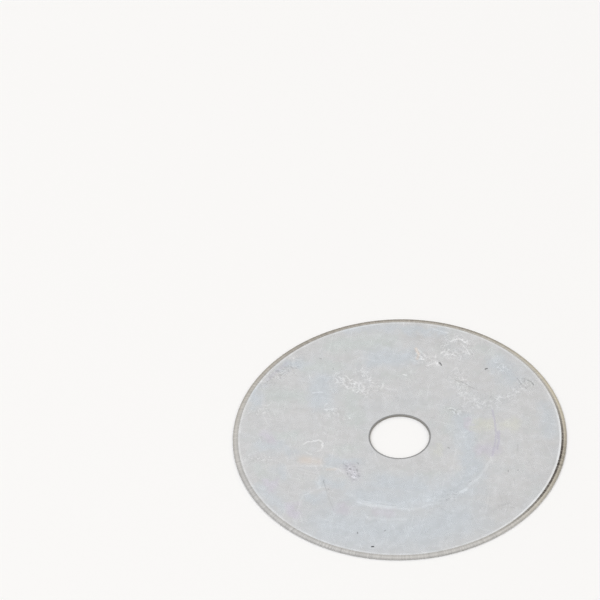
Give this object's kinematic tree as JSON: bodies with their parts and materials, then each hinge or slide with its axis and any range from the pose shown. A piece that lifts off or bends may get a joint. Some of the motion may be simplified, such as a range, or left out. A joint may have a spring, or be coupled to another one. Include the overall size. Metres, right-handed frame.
{
  "type": "rotary cutter blade",
  "caption": "Thin round steel blade with a central bore, ground on both sides to a sharp edge all the way round; it rolls on a cutter's pin to slice cloth, paper or leather.",
  "frame": {"origin": "on the bore's axis, in the lower flat face", "axes": "+Z along the bore's axis, out of the upper face; X and Y are free, because the blade is round"},
  "size_m": [0.045, 0.045, 0.0003],
  "materials": {
    "blade_steel": "satin tool steel, finely scratched and lightly stained, with a crosswise ground rim"
  },
  "bodies": {
    "root": {"blade": "blade_steel"}
  },
  "joints": []
}
